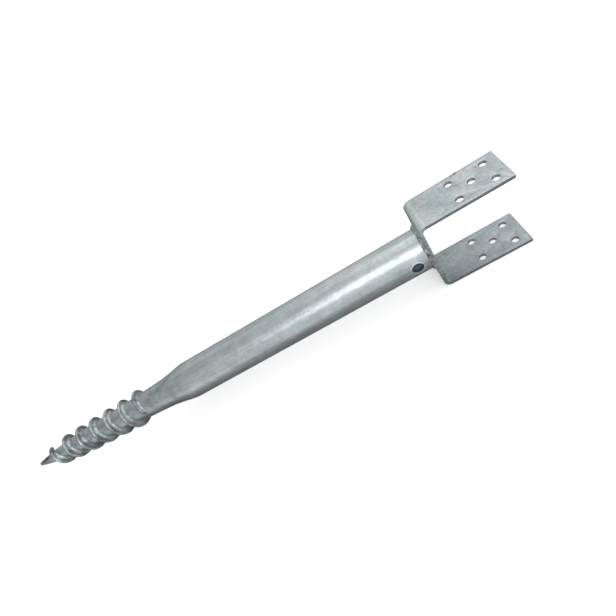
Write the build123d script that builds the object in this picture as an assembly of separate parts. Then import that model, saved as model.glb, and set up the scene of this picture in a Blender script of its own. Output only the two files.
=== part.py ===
from build123d import *
import os
from math import cos, sin, radians

# Foundation ground screw, hot-dip galvanised steel, lying down.
# X runs along the shaft, + towards the open end of the U bracket.
# Z is up, square to the two bracket ears. The origin is on the shaft axis
# in the seat face, the inner face of the bracket's base plate.
# All lengths in mm.

# ---- pipe -------------------------------------------------------------
PIPE_OD = 68.0            # pipe outside diameter
PIPE_WALL = 3.0           # pipe wall
PLATE_T = 5.0             # bracket plate thickness
PIPE_END_X = -PLATE_T     # pipe end, butted to the outer face of the base
SWAGE_X = -468.0          # where the pipe starts to neck down
TIP_X = -863.0            # end of the forged spike
TIP_R = 2.2               # radius of the blunt end of the spike

# outside of the necked and pointed part: (x, radius)
NECK_OUT = [
    (-476.0, 33.1), (-487.0, 31.2), (-500.0, 29.0), (-515.0, 27.2),
    (-531.0, 25.9), (-548.0, 25.0), (-566.0, 24.3), (-600.0, 23.0),
    (-643.0, 21.5), (-683.0, 20.1), (-721.0, 18.6), (-759.0, 16.6),
    (-790.0, 14.0), (-812.0, 11.4), (-830.0, 9.1), (-843.0, 7.1),
    (-853.5, 5.1),
]
# inside of it; the forging thickens the wall towards the spike
NECK_IN = [
    (-478.0, 30.1), (-490.0, 28.2), (-503.0, 26.1), (-518.0, 24.2),
    (-534.0, 22.6), (-550.0, 21.3), (-568.0, 20.1), (-602.0, 18.3),
    (-645.0, 16.2), (-685.0, 14.2), (-721.0, 12.2), (-755.0, 9.6),
    (-780.0, 6.9), (-796.0, 4.6),
]
CAVITY_END_X = -806.0     # the bore is forged shut from here to the tip
CAVITY_END_R = 1.5

# hole through both walls for the driving bar
BAR_HOLE_D = 18.0
BAR_HOLE_X = -28.5

# ---- U bracket --------------------------------------------------------
SLOT_W = 121.0            # clear width between the ears
BRACKET_D = 70.0          # depth of the bracket along Y
EAR_END_X = 135.0         # free edge of the ears, from the seat face
BEND_IN_R = 6.0           # inside radius of the two bends
EAR_CORNER_R = 2.5        # corners of the ears' free ends
HOLE_D = 11.5             # five bolt holes in each ear
HOLE_ROW_IN_X = 63.0      # inner pair of holes
HOLE_ROW_OUT_X = 115.0    # outer pair of holes
HOLE_MID_X = 89.0         # middle hole
HOLE_PITCH_Y = 40.0       # spacing of each pair

# ---- weld between pipe and bracket -----------------------------------
WELD_LEG = 4.5            # leg length of the fillet weld

# ---- thread -----------------------------------------------------------
THREAD_PITCH = 38.0       # right-hand helix
THREAD_REF_X = -582.0     # crest station at THREAD_REF_DEG
THREAD_REF_DEG = 47.7     # angle from +Y towards +Z
TURNS_BEFORE = 0.37       # part of a turn from there towards the neck
TURNS_AFTER = 6.04        # turns from there towards the tip
STRETCH_FROM = 5.35       # the lead opens up over the last part turn
STRETCH = 9.0
FADE_DEG = 130.0          # the flight's height fades out over this at the neck
STEPS_PER_TURN = 32
# crest radius along the thread: (x, radius)
CREST = [
    (-860.0, 14.5), (-822.0, 18.2), (-806.0, 22.4), (-792.0, 25.2),
    (-772.0, 26.9), (-734.0, 28.2), (-696.0, 29.2), (-658.0, 30.0),
    (-620.0, 31.2), (-582.0, 33.3), (-540.0, 34.0),
]
ROOT_SINK = 1.0           # depth below the shaft surface before trimming
# strip section: (offset along x, fraction of height), zinc-filled roots
STRIP = [
    (-8.0, None), (-5.0, 0.13), (-3.5, 0.42), (-2.9, 0.82), (-1.5, 1.0),
    (1.5, 1.0), (2.9, 0.82), (3.5, 0.42), (5.0, 0.13), (8.0, None),
]


def table(rows, x):
    rows = sorted(rows)
    if x <= rows[0][0]:
        return rows[0][1]
    for (xa, ra), (xb, rb) in zip(rows, rows[1:]):
        if x <= xb:
            return ra + (rb - ra) * (x - xa) / (xb - xa)
    return rows[-1][1]


def smooth_table(rows, x, half=9.0):
    # running mean of the table, so the strip has no kinks
    n = 8
    return sum(table(rows, x + half * (2 * i / n - 1)) for i in range(n + 1)) / (n + 1)


def label(shape, name):
    shape.label = name
    return shape


# ---- shaft ------------------------------------------------------------
r_out = PIPE_OD / 2
r_in = r_out - PIPE_WALL


def shaft_solid(closed):
    # half section in the XY plane, revolved about X
    with BuildPart() as bp:
        with BuildSketch(Plane.XY):
            with BuildLine():
                l1 = Line((PIPE_END_X, 0), (PIPE_END_X, r_out))
                l2 = Line(l1 @ 1, (SWAGE_X, r_out))
                s = Spline(l2 @ 1, *NECK_OUT, (TIP_X + 1.6, TIP_R + 0.9),
                           tangents=[(-1, 0), (-1.0, -0.32)])
                e = Line(s @ 1, (TIP_X, TIP_R - 0.6))
                e2 = Line(e @ 1, (TIP_X, 0))
                Line(e2 @ 1, l1 @ 0)
            make_face()
        revolve(axis=Axis.X)
        if not closed:
            with BuildSketch(Plane.XY):
                with BuildLine():
                    m1 = Line((PIPE_END_X, 0), (PIPE_END_X, r_in))
                    m2 = Line(m1 @ 1, (SWAGE_X, r_in))
                    ms = Spline(m2 @ 1, *NECK_IN, (CAVITY_END_X, CAVITY_END_R),
                                tangents=[(-1, 0), (-1.0, -0.35)])
                    m3 = Line(ms @ 1, (CAVITY_END_X, 0))
                    Line(m3 @ 1, m1 @ 0)
                make_face()
            revolve(axis=Axis.X, mode=Mode.SUBTRACT)
            with Locations(Location((BAR_HOLE_X, 0, 0), (90, 0, 0))):
                Cylinder(BAR_HOLE_D / 2, PIPE_OD + 10, mode=Mode.SUBTRACT)
    return bp.part


shaft_filled = shaft_solid(True)
shaft_tube = label(shaft_solid(False), "shaft_tube")

# ---- U bracket: one plate bent twice ---------------------------------
half_out = SLOT_W / 2 + PLATE_T
with BuildPart() as ub:
    with BuildSketch(Plane.XZ):
        with BuildLine():
            Polyline(
                (EAR_END_X, half_out), (-PLATE_T, half_out),
                (-PLATE_T, -half_out), (EAR_END_X, -half_out),
                (EAR_END_X, -half_out + PLATE_T), (0, -half_out + PLATE_T),
                (0, half_out - PLATE_T), (EAR_END_X, half_out - PLATE_T),
                close=True,
            )
        make_face()
    extrude(amount=BRACKET_D / 2, both=True)
    edges_y = ub.edges().filter_by(Axis.Y)
    outer = [e for e in edges_y if abs(e.center().X + PLATE_T) < 1e-6]
    fillet(outer, BEND_IN_R + PLATE_T)
    edges_y = ub.edges().filter_by(Axis.Y)
    inner = [e for e in edges_y if abs(e.center().X) < 1e-6
             and abs(abs(e.center().Z) - SLOT_W / 2) < 1e-6]
    fillet(inner, BEND_IN_R)
    tips = [e for e in ub.edges().filter_by(Axis.Z)
            if abs(e.center().X - EAR_END_X) < 1e-6 and abs(e.length - PLATE_T) < 1e-6]
    fillet(tips, EAR_CORNER_R)
    pts = [(HOLE_ROW_IN_X, -HOLE_PITCH_Y / 2), (HOLE_ROW_IN_X, HOLE_PITCH_Y / 2),
           (HOLE_MID_X, 0),
           (HOLE_ROW_OUT_X, -HOLE_PITCH_Y / 2), (HOLE_ROW_OUT_X, HOLE_PITCH_Y / 2)]
    with Locations(*[(x, y, 0) for x, y in pts]):
        Cylinder(HOLE_D / 2, 2 * half_out + 20, mode=Mode.SUBTRACT)
u_bracket = label(ub.part, "u_bracket")

# ---- fillet weld ring, as wide as the plate lets it be ----------------
with BuildPart() as wd:
    with BuildSketch(Plane.XY):
        with BuildLine():
            a = (PIPE_END_X, r_out)
            b = (PIPE_END_X, r_out + WELD_LEG)
            c = (PIPE_END_X - WELD_LEG, r_out)
            Line(a, b)
            ThreePointArc(b, (PIPE_END_X - 0.56 * WELD_LEG, r_out + 0.56 * WELD_LEG), c)
            Line(c, a)
        make_face()
    revolve(axis=Axis.X)
weld = wd.part & Pos(PIPE_END_X, 0, 0) * Box(6 * WELD_LEG, BRACKET_D, 3 * PIPE_OD)
bracket_weld = label(weld, "bracket_weld")

# ---- thread: a steel strip wound on edge, right hand ------------------
n0, n1 = -TURNS_BEFORE, TURNS_AFTER
steps = int(round((n1 - n0) * STEPS_PER_TURN))
rows = [[] for _ in STRIP]
for i in range(steps + 1):
    n = n0 + (n1 - n0) * i / steps
    x = THREAD_REF_X - THREAD_PITCH * n
    if n > STRETCH_FROM:
        x -= STRETCH * ((n - STRETCH_FROM) / (TURNS_AFTER - STRETCH_FROM)) ** 2
    ang = radians(THREAD_REF_DEG - 360.0 * n)
    core = smooth_table(NECK_OUT, x)
    crest = smooth_table(CREST, x)
    # the strip fades into the neck at its upper end
    u = (n - n0) * 360.0
    if u < FADE_DEG:
        crest = core + (crest - core) * (0.14 + 0.86 * sin(radians(90.0 * u / FADE_DEG)) ** 1.2)
    v = (n1 - n) * 360.0
    narrow = 1.0
    if v < 40.0:
        narrow = 0.62 + 0.38 * v / 40.0
    for k, (dx, f) in enumerate(STRIP):
        if f is None:
            r = smooth_table(NECK_OUT, x + dx * narrow) - ROOT_SINK
        else:
            r = core + f * (crest - core)
        rows[k].append(Vector(x + dx * narrow, r * cos(ang), r * sin(ang)))

curves = [Edge.make_spline(r) for r in rows]
faces = []
for k in range(len(curves)):
    faces.append(Face.make_surface_from_curves(curves[k], curves[(k + 1) % len(curves)]))
for end in (0, -1):
    faces.append(Face(Wire.make_polygon([r[end] for r in rows], close=True)))
strip = Solid(Shell(faces))
if strip.volume < 0:
    strip = -strip
thread = Part(strip.wrapped) - shaft_filled
thread_flight = label(thread, "thread_flight")

os.makedirs("parts", exist_ok=True)
for node in (shaft_tube, u_bracket, bracket_weld, thread_flight):
    export_step(node, "parts/" + node.label + ".step")
    bb = node.bounding_box()
    print(node.label, "valid", node.is_valid, "solids", len(node.solids()),
          "vol", round(node.volume), "box", bb.min, bb.max)
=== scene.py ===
import math
import bmesh
import bpy
from mathutils import Matrix, Vector
from mathutils.noise import noise as noise_at


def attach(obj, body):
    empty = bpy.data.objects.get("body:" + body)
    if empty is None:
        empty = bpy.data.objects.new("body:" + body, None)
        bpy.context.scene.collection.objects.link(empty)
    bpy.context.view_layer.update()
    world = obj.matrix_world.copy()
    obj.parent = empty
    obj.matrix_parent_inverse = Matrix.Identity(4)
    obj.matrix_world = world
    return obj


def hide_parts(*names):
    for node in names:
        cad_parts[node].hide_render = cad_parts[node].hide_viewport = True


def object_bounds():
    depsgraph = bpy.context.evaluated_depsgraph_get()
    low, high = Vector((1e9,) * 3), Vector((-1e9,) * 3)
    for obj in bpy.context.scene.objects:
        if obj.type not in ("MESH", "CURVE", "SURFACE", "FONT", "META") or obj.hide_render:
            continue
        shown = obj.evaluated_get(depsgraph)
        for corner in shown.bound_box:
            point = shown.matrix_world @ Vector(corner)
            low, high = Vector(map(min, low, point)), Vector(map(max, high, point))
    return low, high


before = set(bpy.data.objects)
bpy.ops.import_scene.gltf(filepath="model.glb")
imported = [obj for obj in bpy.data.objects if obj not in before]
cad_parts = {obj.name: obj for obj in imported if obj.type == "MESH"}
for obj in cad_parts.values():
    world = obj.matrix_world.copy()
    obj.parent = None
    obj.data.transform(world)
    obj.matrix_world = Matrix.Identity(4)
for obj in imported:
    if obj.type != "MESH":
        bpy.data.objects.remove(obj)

cad_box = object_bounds()

scene = bpy.context.scene

# ------------------------------------------------------------------ camera
# rows of the world-to-camera turn (image right, image down, into the picture)
RIGHT = Vector((0.83869126, -0.17529411, -0.51562481))
DOWN = Vector((-0.47850755, -0.68928137, -0.54398688))
FORWARD = Vector((-0.26005288, 0.70296740, -0.66197382))
CAM = Vector((-0.02591599, -0.49889102, 0.47956447))
F_OVER_W = 435.4668 / 616.0

cam_data = bpy.data.cameras.new("camera")
cam_data.sensor_width = 36.0
cam_data.sensor_height = 36.0
cam_data.sensor_fit = "HORIZONTAL"
cam_data.lens = 36.0 * F_OVER_W
cam_data.clip_start = 0.01
cam_data.clip_end = 50.0
cam_data.dof.use_dof = False
cam = bpy.data.objects.new("camera", cam_data)
scene.collection.objects.link(cam)
rot = Matrix((RIGHT, -DOWN, -FORWARD)).transposed().to_4x4()
cam.matrix_world = Matrix.Translation(CAM) @ rot
scene.camera = cam


# --------------------------------------------------------------- materials
def new_mat(name):
    m = bpy.data.materials.new(name)
    m.use_nodes = True
    nt = m.node_tree
    for n in list(nt.nodes):
        nt.nodes.remove(n)
    out = nt.nodes.new("ShaderNodeOutputMaterial")
    bsdf = nt.nodes.new("ShaderNodeBsdfPrincipled")
    nt.links.new(bsdf.outputs[0], out.inputs[0])
    return m, nt, bsdf


def noise(nt, vec, scale, detail=4.0, rough=0.55, distortion=0.0):
    n = nt.nodes.new("ShaderNodeTexNoise")
    n.inputs["Scale"].default_value = scale
    n.inputs["Detail"].default_value = detail
    n.inputs["Roughness"].default_value = rough
    n.inputs["Distortion"].default_value = distortion
    nt.links.new(vec, n.inputs["Vector"])
    return n.outputs["Fac"]


def mapping(nt, vec, scale=(1, 1, 1), loc=(0, 0, 0)):
    n = nt.nodes.new("ShaderNodeMapping")
    n.inputs["Scale"].default_value = scale
    n.inputs["Location"].default_value = loc
    nt.links.new(vec, n.inputs["Vector"])
    return n.outputs["Vector"]


def ramp(nt, fac, stops):
    n = nt.nodes.new("ShaderNodeValToRGB")
    cr = n.color_ramp
    while len(cr.elements) < len(stops):
        cr.elements.new(0.5)
    for e, (p, c) in zip(cr.elements, stops):
        e.position = p
        e.color = (*c, 1.0) if len(c) == 3 else c
    nt.links.new(fac, n.inputs["Fac"])
    return n.outputs["Color"]


def mix(nt, a, b, fac, mode="MIX"):
    n = nt.nodes.new("ShaderNodeMix")
    n.data_type = "RGBA"
    n.blend_type = mode
    for sock, v in ((n.inputs[0], fac), (n.inputs[6], a), (n.inputs[7], b)):
        if isinstance(v, (int, float)):
            sock.default_value = v
        elif isinstance(v, tuple):
            sock.default_value = (*v, 1.0)
        else:
            nt.links.new(v, sock)
    return n.outputs[2]


def math_node(nt, op, a, b=None):
    n = nt.nodes.new("ShaderNodeMath")
    n.operation = op
    for sock, v in zip(n.inputs, (a, b)):
        if v is None:
            continue
        if isinstance(v, (int, float)):
            sock.default_value = v
        else:
            nt.links.new(v, sock)
    return n.outputs[0]


SEAM = math.radians(108.0)


def above(nt, a, b):
    return math_node(nt, "GREATER_THAN", a, b)


def soft_step(nt, v, lo, hi):
    n = nt.nodes.new("ShaderNodeMapRange")
    n.interpolation_type = "SMOOTHSTEP"
    n.inputs["From Min"].default_value = lo
    n.inputs["From Max"].default_value = hi
    nt.links.new(v, n.inputs["Value"])
    return n.outputs[0]


def pipe_marks_and_painted_light(nt, co, col):
    """Painted shade in the bore seen through the bar hole, a painted highlight round the hole, burnt spike and its
    split seam.
    """
    sep = nt.nodes.new("ShaderNodeSeparateXYZ")
    nt.links.new(co, sep.inputs[0])
    x, y, z = sep.outputs
    rr = math_node(nt, "SQRT", math_node(nt, "ADD", math_node(nt, "MULTIPLY", y, y), math_node(nt, "MULTIPLY", z, z)))
    # painted shade: the bore inside the pipe is coloured dark blue-grey
    inside = math_node(nt, "MULTIPLY", above(nt, 0.0322, rr), above(nt, x, -0.46))
    col = mix(nt, col, (0.23, 0.29, 0.36), inside)
    # painted highlight: a light ring round the bar hole's rim
    hx = math_node(nt, "ADD", x, 0.0285)
    hd = math_node(nt, "SQRT", math_node(nt, "ADD", math_node(nt, "MULTIPLY", hx, hx), math_node(nt, "MULTIPLY", z, z)))
    rim = math_node(nt, "MULTIPLY", soft_step(nt, hd, 0.0122, 0.0104), above(nt, rr, 0.0322))
    col = mix(nt, col, (0.74, 0.77, 0.79), math_node(nt, "MULTIPLY", rim, 0.75))
    # warm tint beside the weld
    warm_tint = math_node(nt, "MULTIPLY", soft_step(nt, x, -0.024, -0.008), noise(nt, co, 70.0, 3.0))
    col = mix(nt, col, (0.93, 0.86, 0.83), warm_tint, "MULTIPLY")
    # the hammered neck keeps a duller, mottled coat
    neck = math_node(nt, "MULTIPLY", soft_step(nt, x, -0.445, -0.500), 0.9)
    mottle = noise(nt, mapping(nt, co, (36, 80, 80), (2, 4, 1)), 1.0, 5.0, 0.7, 0.6)
    mottle_tone = ramp(nt, mottle, [(0.36, (0.60, 0.66, 0.65)), (0.50, (0.82, 0.86, 0.85)), (0.66, (1, 1, 1))])
    col = mix(nt, col, mottle_tone, neck, "MULTIPLY")
    spike = soft_step(nt, x, -0.818, -0.836)
    scorch = noise(nt, co, 190.0, 5.0, 0.7)
    burnt = ramp(nt, scorch, [(0.35, (0.12, 0.115, 0.12)), (0.62, (0.34, 0.335, 0.34))])
    col = mix(nt, col, burnt, math_node(nt, "MULTIPLY", spike, 0.9))
    ang = math_node(nt, "ARCTAN2", z, y)
    wig = math_node(nt, "MULTIPLY_ADD", noise(nt, mapping(nt, co, (260, 60, 60)), 1.0, 3.0, 0.7), 1.8)
    wig.node.inputs[2].default_value = -0.90
    off = math_node(nt, "ABSOLUTE", math_node(nt, "ADD", math_node(nt, "SUBTRACT", ang, SEAM), wig))
    line = math_node(nt, "MULTIPLY", soft_step(nt, off, 0.46, 0.24), soft_step(nt, x, -0.822, -0.830))
    broken = soft_step(nt, noise(nt, mapping(nt, co, (330, 330, 330), (4, 4, 2)), 1.0, 2.0, 0.6), 0.36, 0.50)
    line = math_node(nt, "MULTIPLY", line, broken)
    return mix(nt, col, (0.022, 0.020, 0.022), line)


def plate_marks_and_painted_light(nt, co, col):
    """Painted shade on the lower ear where the upper ear shades it, deepest near the bend, over mottled zinc; painted
    shade on the long cut edges; painted highlight on the upper bend.
    """
    sep = nt.nodes.new("ShaderNodeSeparateXYZ")
    nt.links.new(co, sep.inputs[0])
    # painted shade: the lower ear is darkened where the upper ear shades it, mottled with noise
    low_ear = soft_step(nt, sep.outputs[2], -0.030, -0.058)
    mottle_tone = noise(nt, mapping(nt, co, (34, 34, 34), (5, 2, 9)), 1.0, 4.0, 0.6)
    shade = ramp(nt, mottle_tone, [(0.34, (0.74, 0.765, 0.765)), (0.66, (0.90, 0.915, 0.92))])
    col = mix(nt, col, shade, low_ear, "MULTIPLY")
    # painted shade, deeper towards the bend on the lower ear
    inner = math_node(nt, "MULTIPLY", low_ear, soft_step(nt, sep.outputs[0], 0.100, 0.030))
    col = mix(nt, col, (0.77, 0.79, 0.785), inner, "MULTIPLY")
    # painted shade on the long cut edges facing the camera, broken up with noise
    edge = soft_step(nt, sep.outputs[1], -0.03460, -0.03485)
    edge_shade_noise = noise(nt, mapping(nt, co, (1, 1, 1), (0.9, 0.4, 0.2)), 230.0, 3.0, 0.6, 0.8)
    tones = ramp(nt, edge_shade_noise, [(0.36, (0.52, 0.50, 0.51)), (0.62, (1.0, 1.02, 1.0))])
    ear = soft_step(nt, sep.outputs[0], -0.001, 0.010)
    edge_shade_col = mix(nt, tones, (0.60, 0.57, 0.59), ear)
    col = mix(nt, col, edge_shade_col, edge, "MULTIPLY")
    # painted highlight, slightly greener, on the upper bend
    bend = math_node(nt, "MULTIPLY", soft_step(nt, sep.outputs[0], 0.010, 0.001), soft_step(nt, sep.outputs[2], 0.050, 0.059))
    return mix(nt, col, (1.36, 1.40, 1.34), bend, "MULTIPLY")


def galvanised(name, dark, light, streak=(1, 1, 1), rough=(0.34, 0.55), metallic=0.92, lumps=0.0, marks_and_painted_light=None,
               cloud_scale=55.0, cloud_span=(0.30, 0.70), line_dark=0.86, speckle=0.0, bump_strength=0.35):
    m, nt, b = new_mat(name)
    co = nt.nodes.new("ShaderNodeTexCoord").outputs["Object"]
    cloud = noise(nt, co, cloud_scale, 5.0, 0.6, 0.4)
    col = ramp(nt, cloud, [(cloud_span[0], dark), (cloud_span[1], light)])
    # spangle: small crystal patches
    vor = nt.nodes.new("ShaderNodeTexVoronoi")
    vor.inputs["Scale"].default_value = 260.0
    nt.links.new(co, vor.inputs["Vector"])
    sp = nt.nodes.new("ShaderNodeSeparateColor")
    nt.links.new(vor.outputs["Color"], sp.inputs[0])
    tint = ramp(nt, sp.outputs[0], [(0.0, (0.90, 0.95, 0.96)), (0.5, (1, 1, 1)), (1.0, (1.0, 0.985, 1.0))])
    col = mix(nt, col, tint, 0.6, "MULTIPLY")
    # blue-green and violet drift
    drift = noise(nt, mapping(nt, co, (14, 14, 14), (3, 1, 7)), 1.0, 3.0)
    hue = ramp(nt, drift, [(0.30, (0.86, 0.96, 0.95)), (0.52, (1, 1, 1)), (0.75, (0.97, 0.95, 1.0))])
    col = mix(nt, col, hue, 0.8, "MULTIPLY")
    # drain lines
    st = noise(nt, mapping(nt, co, streak), 1.0, 4.0, 0.65)
    lines = ramp(nt, st, [(0.35, (line_dark, line_dark + 0.01, line_dark + 0.02)), (0.60, (1, 1, 1))])
    col = mix(nt, col, lines, 0.7, "MULTIPLY")
    if speckle:
        grain = noise(nt, mapping(nt, co, (1, 1, 1), (0.31, 0.17, 0.53)), 300.0, 3.0, 0.65)
        spots = ramp(nt, grain, [(0.30, (0.66, 0.67, 0.68)), (0.50, (1, 1, 1)), (0.70, (1.0, 1.0, 1.0))])
        col = mix(nt, col, spots, speckle, "MULTIPLY")
        broad = noise(nt, mapping(nt, co, (1, 1, 1), (0.71, 0.37, 0.13)), 120.0, 4.0, 0.7, 1.2)
        blots = ramp(nt, broad, [(0.34, (0.80, 0.82, 0.82)), (0.52, (1, 1, 1))])
        col = mix(nt, col, blots, speckle, "MULTIPLY")
    if marks_and_painted_light:
        col = marks_and_painted_light(nt, co, col)
    nt.links.new(col, b.inputs["Base Color"])
    b.inputs["Metallic"].default_value = metallic
    rr = nt.nodes.new("ShaderNodeMapRange")
    rr.inputs["To Min"].default_value = rough[0]
    rr.inputs["To Max"].default_value = rough[1]
    nt.links.new(noise(nt, co, 90.0, 4.0), rr.inputs["Value"])
    nt.links.new(rr.outputs[0], b.inputs["Roughness"])
    bump = nt.nodes.new("ShaderNodeBump")
    bump.inputs["Strength"].default_value = bump_strength
    bump.inputs["Distance"].default_value = 0.0006
    h = math_node(nt, "ADD", noise(nt, co, 120.0, 4.0, 0.6), math_node(nt, "MULTIPLY", st, 0.8))
    if lumps:
        h = math_node(nt, "ADD", h, math_node(nt, "MULTIPLY", noise(nt, co, 45.0, 3.0), lumps))
    nt.links.new(h, bump.inputs["Height"])
    nt.links.new(bump.outputs[0], b.inputs["Normal"])
    return m


tube_mat = galvanised("shaft_tube", (0.44, 0.468, 0.472), (0.54, 0.572, 0.58), streak=(5, 150, 150), rough=(0.29, 0.47), marks_and_painted_light=pipe_marks_and_painted_light,
                      line_dark=0.76, lumps=1.4, speckle=0.45, bump_strength=0.5)
thread_mat = galvanised("thread_flight", (0.15, 0.175, 0.175), (0.47, 0.505, 0.515), streak=(60, 60, 60), rough=(0.33, 0.50),
                        lumps=2.0, cloud_scale=48.0, cloud_span=(0.36, 0.60))
plate_mat = galvanised("u_bracket", (0.375, 0.40, 0.405), (0.445, 0.47, 0.48), streak=(25, 60, 60), rough=(0.34, 0.50), metallic=0.62,
                       marks_and_painted_light=plate_marks_and_painted_light, cloud_scale=90.0, speckle=0.85, bump_strength=0.5)
weld_mat = galvanised("bracket_weld", (0.20, 0.215, 0.215), (0.62, 0.66, 0.66), streak=(80, 80, 80), rough=(0.30, 0.48), lumps=2.0,
                      cloud_scale=170.0, cloud_span=(0.38, 0.60), bump_strength=0.6)
dross_mat = galvanised("dross", (0.055, 0.050, 0.058), (0.16, 0.155, 0.165), streak=(80, 80, 80), rough=(0.45, 0.60), metallic=0.5)
MATS = {"shaft_tube": tube_mat, "thread_flight": thread_mat, "u_bracket": plate_mat, "bracket_weld": weld_mat}
for node, mat in MATS.items():
    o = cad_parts[node]
    o.data.materials.clear()
    o.data.materials.append(mat)

# ---------------------------------------------------------- detailed pieces
MM = 0.001
NECK_OUT = [
    (-468.0, 34.0), (-476.0, 33.1), (-487.0, 31.2), (-500.0, 29.0), (-515.0, 27.2),
    (-531.0, 25.9), (-548.0, 25.0), (-566.0, 24.3), (-600.0, 23.0),
    (-643.0, 21.5), (-683.0, 20.1), (-721.0, 18.6), (-759.0, 16.6),
    (-790.0, 14.0), (-812.0, 11.4), (-830.0, 9.1), (-843.0, 7.1),
    (-853.5, 5.1), (-861.4, 3.0),
]
CREST = [
    (-860.0, 14.5), (-822.0, 18.2), (-806.0, 22.4), (-792.0, 25.2),
    (-772.0, 26.9), (-734.0, 28.2), (-696.0, 29.2), (-658.0, 30.0),
    (-620.0, 31.2), (-582.0, 33.3), (-540.0, 34.0),
]
PIPE_R, PIPE_IN, TIP_X = 34.0, 31.0, -863.0


def table(rows, x):
    rows = sorted(rows)
    if x <= rows[0][0]:
        return rows[0][1]
    for (xa, ra), (xb, rb) in zip(rows, rows[1:]):
        if x <= xb:
            return ra + (rb - ra) * (x - xa) / (xb - xa)
    return rows[-1][1]


def smooth_table(rows, x, half=5.0):
    n = 8
    return sum(table(rows, x + half * (2 * i / n - 1)) for i in range(n + 1)) / (n + 1)


def wob(x, y, z, scale, seed=0.0):
    return noise_at(Vector((x * scale + seed, y * scale - seed, z * scale + 2 * seed)))


def finish_mesh(name, verts, faces, mat, node, smooth_deg=40.0):
    me = bpy.data.meshes.new(name)
    me.from_pydata([(v[0] * MM, v[1] * MM, v[2] * MM) for v in verts], [], faces)
    me.validate()
    bm = bmesh.new()
    bm.from_mesh(me)
    bmesh.ops.recalc_face_normals(bm, faces=bm.faces)
    bm.to_mesh(me)
    bm.free()
    me.materials.append(mat)
    me.set_sharp_from_angle(angle=math.radians(smooth_deg))
    for p in me.polygons:
        p.use_smooth = True
    o = bpy.data.objects.new(name, me)
    scene.collection.objects.link(o)
    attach(o, "root")
    if node:
        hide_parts(node)
    return o


def apply_modifiers(o):
    dg = bpy.context.evaluated_depsgraph_get()
    me = bpy.data.meshes.new_from_object(o.evaluated_get(dg))
    o.modifiers.clear()
    o.data = me


# the pipe: long shallow zinc runs, hammered neck, split seam on the spike
SEAM_DEG = 108.0


def pipe_radius(x, ang):
    base = PIPE_R if x > -463 else smooth_table(NECK_OUT, x, 4.0)
    c, s_ = math.cos(ang), math.sin(ang)
    run = wob(x * 0.06, c * 34, s_ * 34, 0.16, 3.0) * 0.10
    fine = wob(x * 0.5, c * 34, s_ * 34, 0.09, 9.0) * 0.07
    hammer = 0.0
    if x < -455:
        k = min(1.0, (-455 - x) / 40.0)
        hammer = k * wob(x, c * base, s_ * base, 0.055, 21.0) * 0.35
    r = base + run + fine + hammer
    if x < -815:
        k = min(1.0, (-815 - x) / 14.0)
        # flattened by the dies, then split along the top
        r *= 1.0 - 0.05 * k * math.cos(2 * (ang - math.radians(SEAM_DEG)))
        d = (math.degrees(ang) - SEAM_DEG + 180) % 360 - 180
        d += 16.0 * wob(x, 0, 0, 0.22, 4.0)
        width = 20.0 + 10.0 * wob(x, 5, 0, 0.4, 11.0)
        jag = 0.75 + 0.9 * wob(x, 1, 7, 0.55, 2.0)
        r -= k * max(0.0, jag) * 1.5 * math.exp(-((d / width) ** 2)) * min(1.0, base / 6.0)
        r += k * 0.35 * wob(x, c * 8, s_ * 8, 0.35, 31.0)
    return r


SEG = 128
xs = [-5.0]
while xs[-1] > -463.0:
    xs.append(xs[-1] - 4.0)
while xs[-1] > -812.0:
    xs.append(xs[-1] - 2.6)
while xs[-1] > -861.0:
    xs.append(xs[-1] - 1.1)
verts, faces = [], []


def ring(x, rad):
    start = len(verts)
    for j in range(SEG):
        a_ = 2 * math.pi * j / SEG
        r = rad(x, a_)
        verts.append((x, r * math.cos(a_), r * math.sin(a_)))
    return start


def join(p, q):
    for j in range(SEG):
        k = (j + 1) % SEG
        faces.append((p + j, p + k, q + k, q + j))


outer = [ring(x, pipe_radius) for x in xs]
for p, q in zip(outer, outer[1:]):
    join(p, q)
t1 = ring(-862.2, lambda x, a_: 2.1 + 0.3 * math.cos(a_ * 3))
join(outer[-1], t1)
tip = len(verts)
verts.append((TIP_X, 0.2, -0.2))
for j in range(SEG):
    faces.append((t1 + j, t1 + (j + 1) % SEG, tip))
NECK_IN = [(-468.0, 31.0), (-478.0, 30.1), (-490.0, 28.2), (-503.0, 26.1), (-518.0, 24.2), (-550.0, 21.3),
           (-602.0, 18.0), (-645.0, 15.8), (-685.0, 13.8), (-721.0, 11.6), (-755.0, 9.0), (-796.0, 4.2)]
inner_x = [-5.0, -60.0, -200.0, -460.0, -478.0, -490.0, -503.0, -518.0, -550.0, -602.0, -645.0, -685.0, -721.0, -755.0, -796.0]
inner = [ring(x, lambda x, a_: PIPE_IN if x > -467 else table(NECK_IN, x)) for x in inner_x]
for p, q in zip(inner, inner[1:]):
    join(q, p)
end = len(verts)
verts.append((-806.0, 0.0, 0.0))
for j in range(SEG):
    faces.append((inner[-1] + (j + 1) % SEG, inner[-1] + j, end))
join(inner[0], outer[0])
pipe = finish_mesh("pipe", verts, faces, tube_mat, "shaft_tube")

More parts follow.
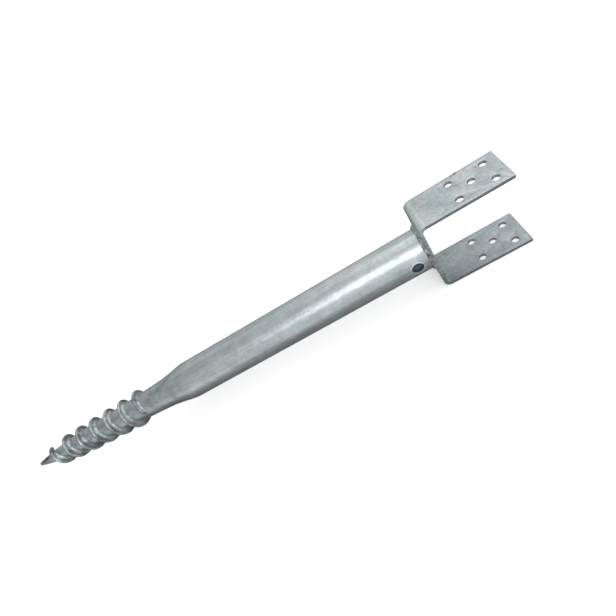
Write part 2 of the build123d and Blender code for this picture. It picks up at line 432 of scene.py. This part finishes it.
# bar hole, its rim rounded by the zinc
cut_v, cut_f = [], []
prof = [(-40.0, 10.3), (-34.05, 10.0), (-33.2, 9.35), (-32.4, 9.0), (32.4, 9.0), (33.2, 9.35), (34.05, 10.0), (40.0, 10.3)]
CS = 64
for y, r in prof:
    for j in range(CS):
        a_ = 2 * math.pi * j / CS
        cut_v.append((-28.5 + r * math.cos(a_), y, r * math.sin(a_)))
for i in range(len(prof) - 1):
    for j in range(CS):
        k = (j + 1) % CS
        cut_f.append((i * CS + j, i * CS + k, (i + 1) * CS + k, (i + 1) * CS + j))
cut_f.append(tuple(range(CS))[::-1])
cut_f.append(tuple((len(prof) - 1) * CS + j for j in range(CS)))
cme = bpy.data.meshes.new("cutter")
cme.from_pydata([(v[0] * MM, v[1] * MM, v[2] * MM) for v in cut_v], [], cut_f)
cbm = bmesh.new()
cbm.from_mesh(cme)
bmesh.ops.recalc_face_normals(cbm, faces=cbm.faces)
cbm.to_mesh(cme)
cbm.free()
cme.materials.append(tube_mat)
cutter = bpy.data.objects.new("cutter", cme)
scene.collection.objects.link(cutter)
mod = pipe.modifiers.new("hole", "BOOLEAN")
mod.operation = "DIFFERENCE"
mod.solver = "EXACT"
mod.object = cutter
apply_modifiers(pipe)
bpy.data.objects.remove(cutter)
pipe.data.materials.clear()
pipe.data.materials.append(tube_mat)
pipe.data.set_sharp_from_angle(angle=math.radians(40))
for p in pipe.data.polygons:
    p.use_smooth = True

# the flight: strip on edge with thick uneven zinc
THREAD_PITCH, REF_X, REF_DEG = 38.0, -582.0, 47.7
N0, N1 = -0.37, 6.04
FADE = 130.0
SECTION = [(-8.4, -1.0), (-7.0, 0.4), (-5.6, 1.3), (-4.4, 2.5), (-3.6, 0.42), (-3.2, 0.60), (-2.9, 0.78), (-2.45, 0.89),
           (-1.7, 0.965), (-0.7, 1.0), (0.7, 1.0), (1.7, 0.965), (2.45, 0.89), (2.9, 0.78), (3.2, 0.60), (3.6, 0.42),
           (4.4, 2.5), (5.6, 1.3), (7.0, 0.4), (8.4, -1.0)]
tv, tf = [], []
steps = int((N1 - N0) * 72)
m_ = len(SECTION)
for i in range(steps + 1):
    n = N0 + (N1 - N0) * i / steps
    x = REF_X - THREAD_PITCH * n
    if n > 5.35:
        x -= 9.0 * ((n - 5.35) / (N1 - 5.35)) ** 2
    ang = math.radians(REF_DEG - 360.0 * n)
    core = smooth_table(NECK_OUT, x, 9.0)
    crest = smooth_table(CREST, x, 9.0)
    u, v = (n - N0) * 360.0, (N1 - n) * 360.0
    if u < FADE:
        crest = core + (crest - core) * (0.14 + 0.86 * math.sin(math.radians(90.0 * u / FADE)) ** 1.2)
    nar = 1.0 if v >= 70.0 else 0.42 + 0.58 * v / 70.0
    sway = 0.7 * wob(n * 30, 0, 0, 0.11, 5.0)
    for k, (dx, f) in enumerate(SECTION):
        if k in (0, m_ - 1):
            r = core - 1.2
        elif k in (1, 2, 3, m_ - 2, m_ - 3, m_ - 4):
            low_end = min(1.0, (crest - core) / 7.0)
            r = core + f * low_end * (1.0 + 0.35 * wob(n * 30, dx, 0, 0.35, 7.0))
        else:
            r = core + f * (crest - core)
        px = x + dx * nar + sway * (0.4 if f < 0.3 or k in (0, 1, m_ - 2, m_ - 1) else 1.0)
        y, z = r * math.cos(ang), r * math.sin(ang)
        if 0 < k < m_ - 1:
            b1 = wob(px, y, z, 0.10, 13.0) * 0.55 + wob(px, y, z, 0.26, 17.0) * 0.28
            r += b1 * (0.6 if k in (1, 2, m_ - 3, m_ - 2) else 1.0)
            px += wob(px, y, z, 0.15, 23.0) * 0.35
            if u < 44.0:
                # the strip's end: a fused blob, then it dives under the pipe's zinc
                r += 1.2 * math.exp(-((u - 25.0) / 12.0) ** 2) * max(0.0, 1.0 - (abs(dx) / 6.5) ** 2)
                d = min(1.0, u / 20.0)
                d = d * d * (3.0 - 2.0 * d)
                r = (core - 1.4) + (r - core + 1.4) * d
            y, z = r * math.cos(ang), r * math.sin(ang)
        tv.append((px, y, z))
for i in range(steps):
    for k in range(m_):
        k2 = (k + 1) % m_
        tf.append((i * m_ + k, i * m_ + k2, (i + 1) * m_ + k2, (i + 1) * m_ + k))
tf.append(tuple(range(m_))[::-1])
tf.append(tuple(steps * m_ + k for k in range(m_)))
flight = finish_mesh("flight", tv, tf, thread_mat, "thread_flight", 55.0)

# weld: one rippled bead round the pipe, against the base plate
wv, wf = [], []
WN, WK = 420, 9
for i in range(WN):
    a_ = 2 * math.pi * i / WN
    arc = a_ * 36.0
    rip = 0.5 + 0.5 * math.sin(arc / 3.4 + 1.2 * wob(arc, 0, 0, 0.05, 3.0))
    leg = 4.3 + 0.9 * rip + 0.9 * wob(arc, 2, 0, 0.09, 8.0)
    for k in range(WK):
        t = k / (WK - 1)
        # from the plate, over the bead, to the pipe
        bx = -5.0 - leg * t
        br = 34.0 + leg * (1 - t)
        bul = math.sin(math.pi * t) * (0.1 + 1.3 * rip)
        bx -= 0.55 * bul
        br += 0.55 * bul
        if k == 0:
            bx, br = -4.7, br
        if k == WK - 1:
            br = 33.6
        y, z = br * math.cos(a_), br * math.sin(a_)
        lim = 35.0
        y = max(-lim, min(lim, y))
        wv.append((bx, y, z))
    wv.append((-4.7, 33.6 * math.cos(a_), 33.6 * math.sin(a_)))
M2 = WK + 1
for i in range(WN):
    i2 = (i + 1) % WN
    for k in range(M2):
        k2 = (k + 1) % M2
        wf.append((i * M2 + k, i * M2 + k2, i2 * M2 + k2, i2 * M2 + k))
weld = finish_mesh("weld", wv, wf, weld_mat, "bracket_weld", 60.0)

# bracket: the bent plate, its cut edges rounded over by the zinc
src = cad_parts["u_bracket"]
bme = src.data.copy()
bm = bmesh.new()
bm.from_mesh(bme)
bmesh.ops.remove_doubles(bm, verts=bm.verts, dist=1e-6)
bmesh.ops.dissolve_limit(bm, angle_limit=math.radians(0.6), verts=bm.verts, edges=bm.edges, delimit={"NORMAL"})
bm.to_mesh(bme)
bm.free()
bme.materials.clear()
bme.materials.append(plate_mat)
bracket = bpy.data.objects.new("bracket", bme)
scene.collection.objects.link(bracket)
bev = bracket.modifiers.new("round", "BEVEL")
bev.width = 0.0006
bev.segments = 2
bev.limit_method = "ANGLE"
bev.angle_limit = math.radians(50)
bev.use_clamp_overlap = True
apply_modifiers(bracket)
bracket.data.set_sharp_from_angle(angle=math.radians(35))
for p in bracket.data.polygons:
    p.use_smooth = True
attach(bracket, "root")
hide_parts("u_bracket")


def nodule(name, at, size, seed, mat):
    # a frozen zinc drip
    b = bmesh.new()
    bmesh.ops.create_icosphere(b, subdivisions=3, radius=1.0)
    for v in b.verts:
        k = 1.0 + 0.28 * wob(v.co.x, v.co.y, v.co.z, 1.6, seed)
        v.co = Vector((v.co.x * size[0] * k, v.co.y * size[1] * k, v.co.z * size[2] * k))
    me = bpy.data.meshes.new(name)
    b.to_mesh(me)
    b.free()
    me.transform(Matrix.Translation(Vector(at)) @ Matrix.Scale(MM, 4))
    me.materials.append(mat)
    for p in me.polygons:
        p.use_smooth = True
    o = bpy.data.objects.new(name, me)
    scene.collection.objects.link(o)
    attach(o, "root")
    return o


nodule("zinc_drip_a", (0.0790, 0.0330, 0.0656), (2.3, 1.5, 0.9), 1.0, dross_mat)
nodule("zinc_drip_b", (0.0735, 0.0318, 0.0655), (1.3, 1.0, 0.6), 5.0, dross_mat)
nodule("zinc_drip_c", (0.0762, 0.0340, 0.0654), (1.6, 1.2, 0.8), 9.0, plate_mat)

# ------------------------------------------------------------------- stage
low = cad_box[0][2]


def backdrop():
    # a flat floor that sweeps up into a low rim far away
    rings, seg = 40, 96
    verts, faces = [(-0.3, 0.0, low - 0.0003)], []
    for i in range(1, rings + 1):
        r = 12.0 * (i / rings) ** 1.6
        rise = 0.0 if r < 4.0 else 7.5 * ((r - 4.0) / 8.0) ** 2
        for j in range(seg):
            a = 2 * math.pi * j / seg
            verts.append((r * math.cos(a) - 0.3, r * math.sin(a), low - 0.0003 + rise))
    for j in range(seg):
        faces.append((0, 1 + j, 1 + (j + 1) % seg))
    for i in range(rings - 1):
        for j in range(seg):
            p = 1 + i * seg + j
            q = 1 + i * seg + (j + 1) % seg
            faces.append((p, p + seg, q + seg, q))
    me = bpy.data.meshes.new("floor")
    me.from_pydata(verts, [], faces)
    me.update()
    for p in me.polygons:
        p.use_smooth = True
    o = bpy.data.objects.new("floor", me)
    scene.collection.objects.link(o)
    return o


floor = backdrop()
fm, fnt, fb = new_mat("floor")
fb.inputs["Base Color"].default_value = (0.86, 0.86, 0.86, 1)
fb.inputs["Roughness"].default_value = 0.95
fb.inputs["Specular IOR Level"].default_value = 0.1
fb.inputs["Emission Color"].default_value = (1, 1, 1, 1)
fb.inputs["Emission Strength"].default_value = 0.30
floor.data.materials.append(fm)
floor.visible_glossy = False
floor.visible_diffuse = False
floor.visible_shadow = False

# studio: bright all round above the table, dark below it
world = bpy.data.worlds.new("world")
scene.world = world
world.use_nodes = True
wt = world.node_tree
bg = wt.nodes["Background"]
wco = wt.nodes.new("ShaderNodeTexCoord").outputs["Generated"]
wsep = wt.nodes.new("ShaderNodeSeparateXYZ")
wt.links.new(wco, wsep.inputs[0])
front = math_node(wt, "MULTIPLY", wsep.outputs[1], -1.0)
psi = math_node(wt, "ARCTAN2", front, wsep.outputs[2])
turn = math_node(wt, "MULTIPLY_ADD", psi, 1 / (2 * math.pi))
turn.node.inputs[2].default_value = 0.5


def level(v, tint=(1.0, 1.0, 1.0)):
    return tuple(v * t for t in tint)


WORLD_STOPS = [
    (0.00, level(0.18)), (0.17, level(0.17)), (0.21, level(0.36)), (0.25, level(0.64)), (0.31, level(0.88)),
    (0.40, level(1.08)), (0.53, level(0.74)), (0.62, level(0.88)), (0.72, level(0.90)),
    (0.76, level(1.02)), (0.788, level(1.10)), (0.816, level(0.50)), (0.90, level(0.30)),
    (1.00, level(0.22)),
]
wr = ramp(wt, turn, WORLD_STOPS)
along = math_node(wt, "MULTIPLY_ADD", wsep.outputs[0], 0.5)
along.node.inputs[2].default_value = 0.5
side_col = ramp(wt, along, [(0.05, level(0.80)), (0.13, level(0.62)), (0.20, level(0.60)), (0.27, level(0.78)), (0.42, level(1.06)), (0.55, level(1.2)), (1.0, level(1.1))])


def channel(col):
    n = wt.nodes.new("ShaderNodeSeparateColor")
    wt.links.new(col, n.inputs[0])
    return n.outputs[0]


# a second strip, low in front and beyond the spike
band = channel(ramp(wt, turn, [(0.765, level(0.0)), (0.785, level(1.0)), (0.832, level(1.0)), (0.862, level(0.0))]))
reach = channel(ramp(wt, along, [(0.08, level(0.95)), (0.20, level(0.72)), (0.30, level(0.42)), (0.36, level(0.26)), (0.42, level(0.10)), (0.47, level(0.0))]))
strength = math_node(wt, "ADD", math_node(wt, "MULTIPLY", channel(wr), channel(side_col)), math_node(wt, "MULTIPLY", band, reach))
bg.inputs[0].default_value = (1.0, 1.0, 1.0, 1.0)
wt.links.new(strength, bg.inputs[1])


def area(name, loc, target, size, size_y, power):
    d = bpy.data.lights.new(name, "AREA")
    d.shape = "RECTANGLE"
    d.size = size
    d.size_y = size_y
    d.energy = power
    o = bpy.data.objects.new(name, d)
    scene.collection.objects.link(o)
    o.location = loc
    o.rotation_euler = (Vector(target) - Vector(loc)).to_track_quat("-Z", "Y").to_euler()
    return o


area("key", (0.02, -1.25, 1.30), (0.02, 0, 0), 1.4, 1.0, 12.0)
area("top", (0.42, 0.52, 1.40), (0.08, 0, 0.05), 0.9, 0.9, 3.6)

scene.view_settings.view_transform = "Standard"
